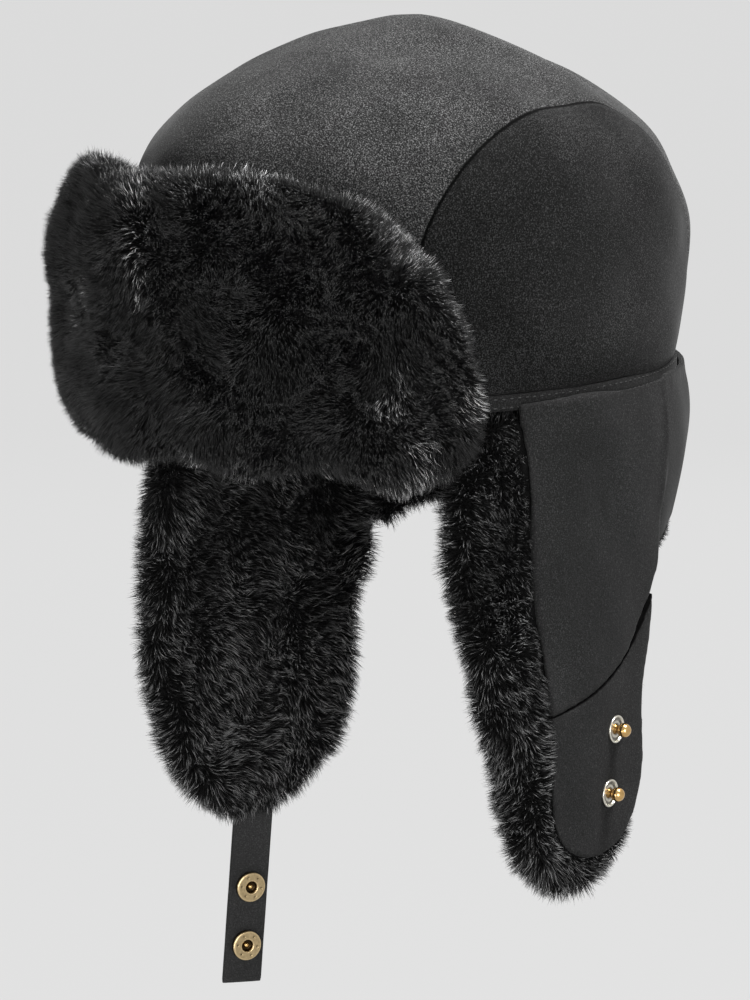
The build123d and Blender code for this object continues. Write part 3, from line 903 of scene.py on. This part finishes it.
def turned(name, profile, centre, axis, material, slot, pits=()):
    """A turned piece: a profile of (radius, height, wear) in mm spun round an axis.

    Pits are small round dents, each (radius, angle)."""
    axis = Vector(axis).normalized()
    first = axis.orthogonal().normalized()
    if abs(axis.z) < 0.9:
        first = (Vector((0, 0, 1)) - axis * axis.z).normalized()
    second = axis.cross(first)
    vertices, wear = [], []
    for radius, rise, worn in profile:
        for k in range(SPIN_STEPS):
            angle = 2 * math.pi * k / SPIN_STEPS
            sunk = 0.0
            for pit_radius, pit_angle in pits:
                gap = math.hypot(radius * math.cos(angle) - pit_radius * math.cos(pit_angle),
                                 radius * math.sin(angle) - pit_radius * math.sin(pit_angle))
                sunk += PIT_DEPTH * math.exp(-(gap / PIT_RADIUS) ** 2)
            out = first * math.cos(angle) + second * math.sin(angle)
            vertices.append(Vector(centre) + (out * radius + axis * (rise - sunk)) * MM)
            wear.append(worn - PIT_GRIME * sunk)
    made = piece(name, vertices, tube_faces(0, len(profile) - 1, SPIN_STEPS), material, slot)
    store(made, "worn", wear)
    return made


def discs(node, way):
    """The middle and the axis, facing this way, of a node's two round solids, upper one first."""
    co = corners_of(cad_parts[node].data)
    high = co[:, 2] > (co[:, 2].max() + co[:, 2].min()) / 2
    found = []
    for chosen in (co[high], co[~high]):
        middle = (chosen.max(axis=0) + chosen.min(axis=0)) / 2
        _, _, axes = np.linalg.svd(chosen - chosen.mean(axis=0), full_matrices=False)
        axis = Vector(axes[2])
        found.append((Vector(middle), axis if axis.dot(way) > 0 else -axis))
    return found


def arc(middle_r, middle_h, radius, start, end, steps, worn):
    """Profile points round a circle, from one angle in degrees to another."""
    angles = [math.radians(start + (end - start) * k / steps) for k in range(steps + 1)]
    return [(middle_r + radius * math.cos(t), middle_h + radius * math.sin(t), worn) for t in angles]


OUTWARDS = Vector((1, 0, 0))
for number, (middle, axis) in enumerate(discs("snap_stud_washers", OUTWARDS)):
    rim = [(5.25, -0.45, 0.1)] + arc(4.85, 0.12, 0.4, 0, 180, 8, 0.75)
    well = [(4.3, -0.28, 0.0), (3.4, -0.32, 0.0), (3.1, -0.05, 0.5), (2.6, 0.05, 0.6), (2.2, -0.2, 0.1),
            (1.2, -0.4, 0.0)]
    washer = turned(f"snap_stud_washer_{number}", rim + well, middle, axis, pale_brass, "pale_brass")
    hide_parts("snap_stud_washers")
    neck = [(2.0, -0.3, 0.0), (1.75, 0.2, 0.1), (1.55, 0.7, 0.2)]
    ball = arc(0.0, 3.25, 2.7, -52, 90, 16, 0.55)
    stud = turned(f"snap_stud_ball_{number}", neck + ball, middle, axis, polished_brass,
                  "antique_brass")
    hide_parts("snap_studs")
    for made in (washer, stud):
        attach(made, "left_ear_flap")
for number, (middle, axis) in enumerate(discs("snap_stud_backs", -OUTWARDS)):
    profile = [(5.0, -0.5, 0.1), (5.0, 0.2, 0.3)] + arc(4.7, 0.2, 0.3, 0, 90, 4, 0.6) + [
        (3.0, 0.45, 0.35), (1.2, 0.3, 0.1), (0.0, 0.25, 0.1)]
    button = turned(f"snap_stud_back_{number}", profile, middle, axis, antique_brass, "antique_brass")
    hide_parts("snap_stud_backs")
    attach(button, "left_ear_flap")


# The chin strap: melton folded over and sewn flat, 16.8 mm wide and 3 mm thick. Its top is
# caught between the wool and fur of the right flap, and the press snaps pinch it a little.
HINGE = Vector((-0.0845, -0.0045, -0.1986))
TURN, LEAN = math.radians(71), math.radians(4.6)
STRAP_LENGTH, STRAP_WIDTH, STRAP_THICKNESS = 0.065, 0.0168, 0.0030
CAUGHT = 0.016
PINCH_RADIUS, PINCH_WIDTH, PINCH_SHARE = 0.0065, 0.0025, 0.22
HEM_INSET, HEM_WIDTH, HEM_SHARE = 0.0022, 0.0007, 0.13
strap_out = Vector((math.sin(TURN), -math.cos(TURN), 0))
strap_across = Vector((math.cos(TURN), math.sin(TURN), 0)) * math.cos(LEAN)
strap_across -= Vector((0, 0, 1)) * math.sin(LEAN)
strap_down = strap_across.cross(strap_out)

vertices = []
rings, around = 100, 40
snaps = [(HINGE - middle).length for middle, _ in discs("strap_snap_sockets", strap_out)]
for row in range(rings + 1):
    share = row / rings
    down = (STRAP_LENGTH + CAUGHT) * share - CAUGHT
    closing = min(1.0, (1 - share) * rings / 2.0)
    for k in range(around):
        angle = 2 * math.pi * k / around
        x = math.copysign(abs(math.cos(angle)) ** 0.35, math.cos(angle)) * STRAP_WIDTH / 2
        z = math.copysign(abs(math.sin(angle)) ** 0.55, math.sin(angle)) * STRAP_THICKNESS / 2
        z *= 0.55 + 0.45 * closing ** 0.5
        x *= 0.985 + 0.015 * closing
        pinch = sum(math.exp(-((math.hypot(x, down - snap) - PINCH_RADIUS) / PINCH_WIDTH) ** 2)
                    for snap in snaps)
        z *= 1 - PINCH_SHARE * min(pinch, 1)
        hem = math.exp(-((abs(x) - STRAP_WIDTH / 2 + HEM_INSET) / HEM_WIDTH) ** 2)
        z *= 1 - HEM_SHARE * hem
        vertices.append(HINGE + strap_across * x + strap_down * down + strap_out * z)
faces = tube_faces(0, rings, around)
faces += [tuple(range(around))[::-1], tuple(rings * around + k for k in range(around))]
strap = piece("chin_strap_wool", vertices, faces, folded_melton, "wool")
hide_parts("chin_strap")
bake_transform(strap)

for number, (middle, axis) in enumerate(discs("strap_snap_sockets", strap_out)):
    flange = [(6.0, -1.15, 0.0), (6.05, 0.35, 0.1)] + arc(5.6, 0.45, 0.45, 0, 80, 5, 0.7)
    face = [(r, 0.98 - 0.02 * (5.4 - r), 0.42) for r in (5.2, 4.9, 4.6, 4.3, 4.0, 3.7, 3.4, 3.1)]
    mouth = [(2.75, 0.98, 0.75), (2.5, 0.8, 0.6), (2.35, 0.3, 0.0), (2.3, -0.9, -0.3), (1.4, -1.0, -0.3),
             (0.0, -1.0, -0.3)]
    pits = [(4.3, math.radians(60 * k + 20)) for k in range(6)]
    socket = turned(f"strap_snap_socket_{number}", flange + face + mouth, middle, axis, antique_brass,
                    "antique_brass", pits)
    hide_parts("strap_snap_sockets")
    bead = turned(f"strap_snap_bead_{number}", arc(0.0, -0.75, 1.1, 0, 90, 10, 0.8), middle, axis,
                  polished_brass, "antique_brass")
    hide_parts("strap_snap_posts")
    for made in (socket, bead):
        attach(made, "chin_strap")
for number, (middle, axis) in enumerate(discs("strap_snap_caps", -strap_out)):
    profile = [(6.1, -0.75, 0.0), (6.25, -0.2, 0.3)] + arc(5.8, -0.1, 0.45, 0, 70, 5, 0.7) + [
        (4.5, 0.55, 0.5), (3.0, 0.72, 0.45), (1.5, 0.79, 0.4), (0.0, 0.8, 0.4)]
    cap = turned(f"strap_snap_cap_{number}", profile, middle, axis, antique_brass, "antique_brass")
    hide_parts("strap_snap_caps")
    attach(cap, "chin_strap")


# The stage: a pale floor below the hat and a pale surround. A strong light overhead grazes the
# wool, so that it keeps its grain, and weaker soft ones from the side, from low in front and
# from behind fill the rest and give the pile its glints.
PALE = linear("#dfdfdf")


def seen(tree):
    """1 on a ray from the camera, off a mirror or through glass, and 0 on all others."""
    path = add(tree, "ShaderNodeLightPath")
    mirrored = add(tree, "ShaderNodeMath", {"operation": "MAXIMUM"},
                   {0: path.outputs["Is Glossy Ray"], 1: path.outputs["Is Transmission Ray"]})
    either = add(tree, "ShaderNodeMath", {"operation": "MAXIMUM"},
                 {0: path.outputs["Is Camera Ray"], 1: mirrored.outputs[0]})
    return either.outputs[0]


paper = finish_named("pale_paper_floor")
shaded = add(paper, "ShaderNodeBsdfDiffuse", {"Color": PALE})
glow = add(paper, "ShaderNodeEmission", {"Color": PALE, "Strength": 1.0})
share = add(paper, "ShaderNodeMath", {"operation": "MULTIPLY", 1: 0.96}, {0: seen(paper)})
surface = add(paper, "ShaderNodeMixShader", None,
              {0: share.outputs[0], 1: shaded.outputs[0], 2: glow.outputs[0]})
add(paper, "ShaderNodeOutputMaterial", None, {"Surface": surface.outputs[0]})
REACH, LEVEL = 60, -0.37
floor = piece("floor", [(-REACH, -REACH, LEVEL), (REACH, -REACH, LEVEL),
                        (REACH, REACH, LEVEL), (-REACH, REACH, LEVEL)], [(0, 1, 2, 3)], paper, "wool")
del floor["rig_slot"]

world = bpy.data.worlds.new("surround")
bpy.context.scene.world = world
world.use_nodes = True
world.node_tree.nodes.clear()
dim = add(world, "ShaderNodeBackground", {"Color": PALE, "Strength": 0.14})
pale = add(world, "ShaderNodeBackground", {"Color": PALE, "Strength": 1.0})
both = add(world, "ShaderNodeMixShader", None,
           {0: seen(world), 1: dim.outputs[0], 2: pale.outputs[0]})
add(world, "ShaderNodeOutputWorld", None, {"Surface": both.outputs[0]})


def lamp(name, place, aim, size, power):
    """A square soft light at a place, turned to its aim."""
    light = bpy.data.lights.new(name, "AREA")
    light.shape = "SQUARE"
    light.size = size
    light.energy = power
    made = bpy.data.objects.new(name, light)
    made.matrix_world = (Vector(place) - Vector(aim)).to_track_quat("Z", "Y").to_matrix().to_4x4()
    made.matrix_world.translation = Vector(place)
    bpy.context.scene.collection.objects.link(made)


lamp("overhead", (0.34, 0.20, 1.06), aim=(0, 0, 0), size=0.45, power=38)
lamp("side", (1.15, -0.75, 0.00), aim=(0, 0, -0.08), size=0.7, power=11)
lamp("low", (0.15, -1.20, -0.30), aim=(0, 0, -0.14), size=0.5, power=8)
lamp("rear", (-1.10, 1.30, 0.45), aim=(0, 0, 0), size=0.8, power=10)

# The camera: before the hat, on the wearer's left and a little above.
AZIMUTH = math.radians(45)
ELEVATION = math.radians(11)
DISTANCE = 1.5
FOCAL_LENGTH, SENSOR_HEIGHT = 143.1, 36
SHIFT_RIGHT, SHIFT_UP = -0.0137, -0.054
back = Vector((math.sin(AZIMUTH) * math.cos(ELEVATION), -math.cos(AZIMUTH) * math.cos(ELEVATION),
               math.sin(ELEVATION)))
right = Vector((math.cos(AZIMUTH), math.sin(AZIMUTH), 0))
upward = back.cross(right)
camera = bpy.data.objects.new("camera", bpy.data.cameras.new("camera"))
camera.data.sensor_fit = "VERTICAL"
camera.data.sensor_height = SENSOR_HEIGHT
camera.data.lens = FOCAL_LENGTH
camera.matrix_world = Matrix((right, upward, back)).transposed().to_4x4()
camera.matrix_world.translation = right * SHIFT_RIGHT + upward * SHIFT_UP + back * DISTANCE
bpy.context.scene.collection.objects.link(camera)
bpy.context.scene.camera = camera
bpy.context.scene.view_settings.view_transform = "Standard"
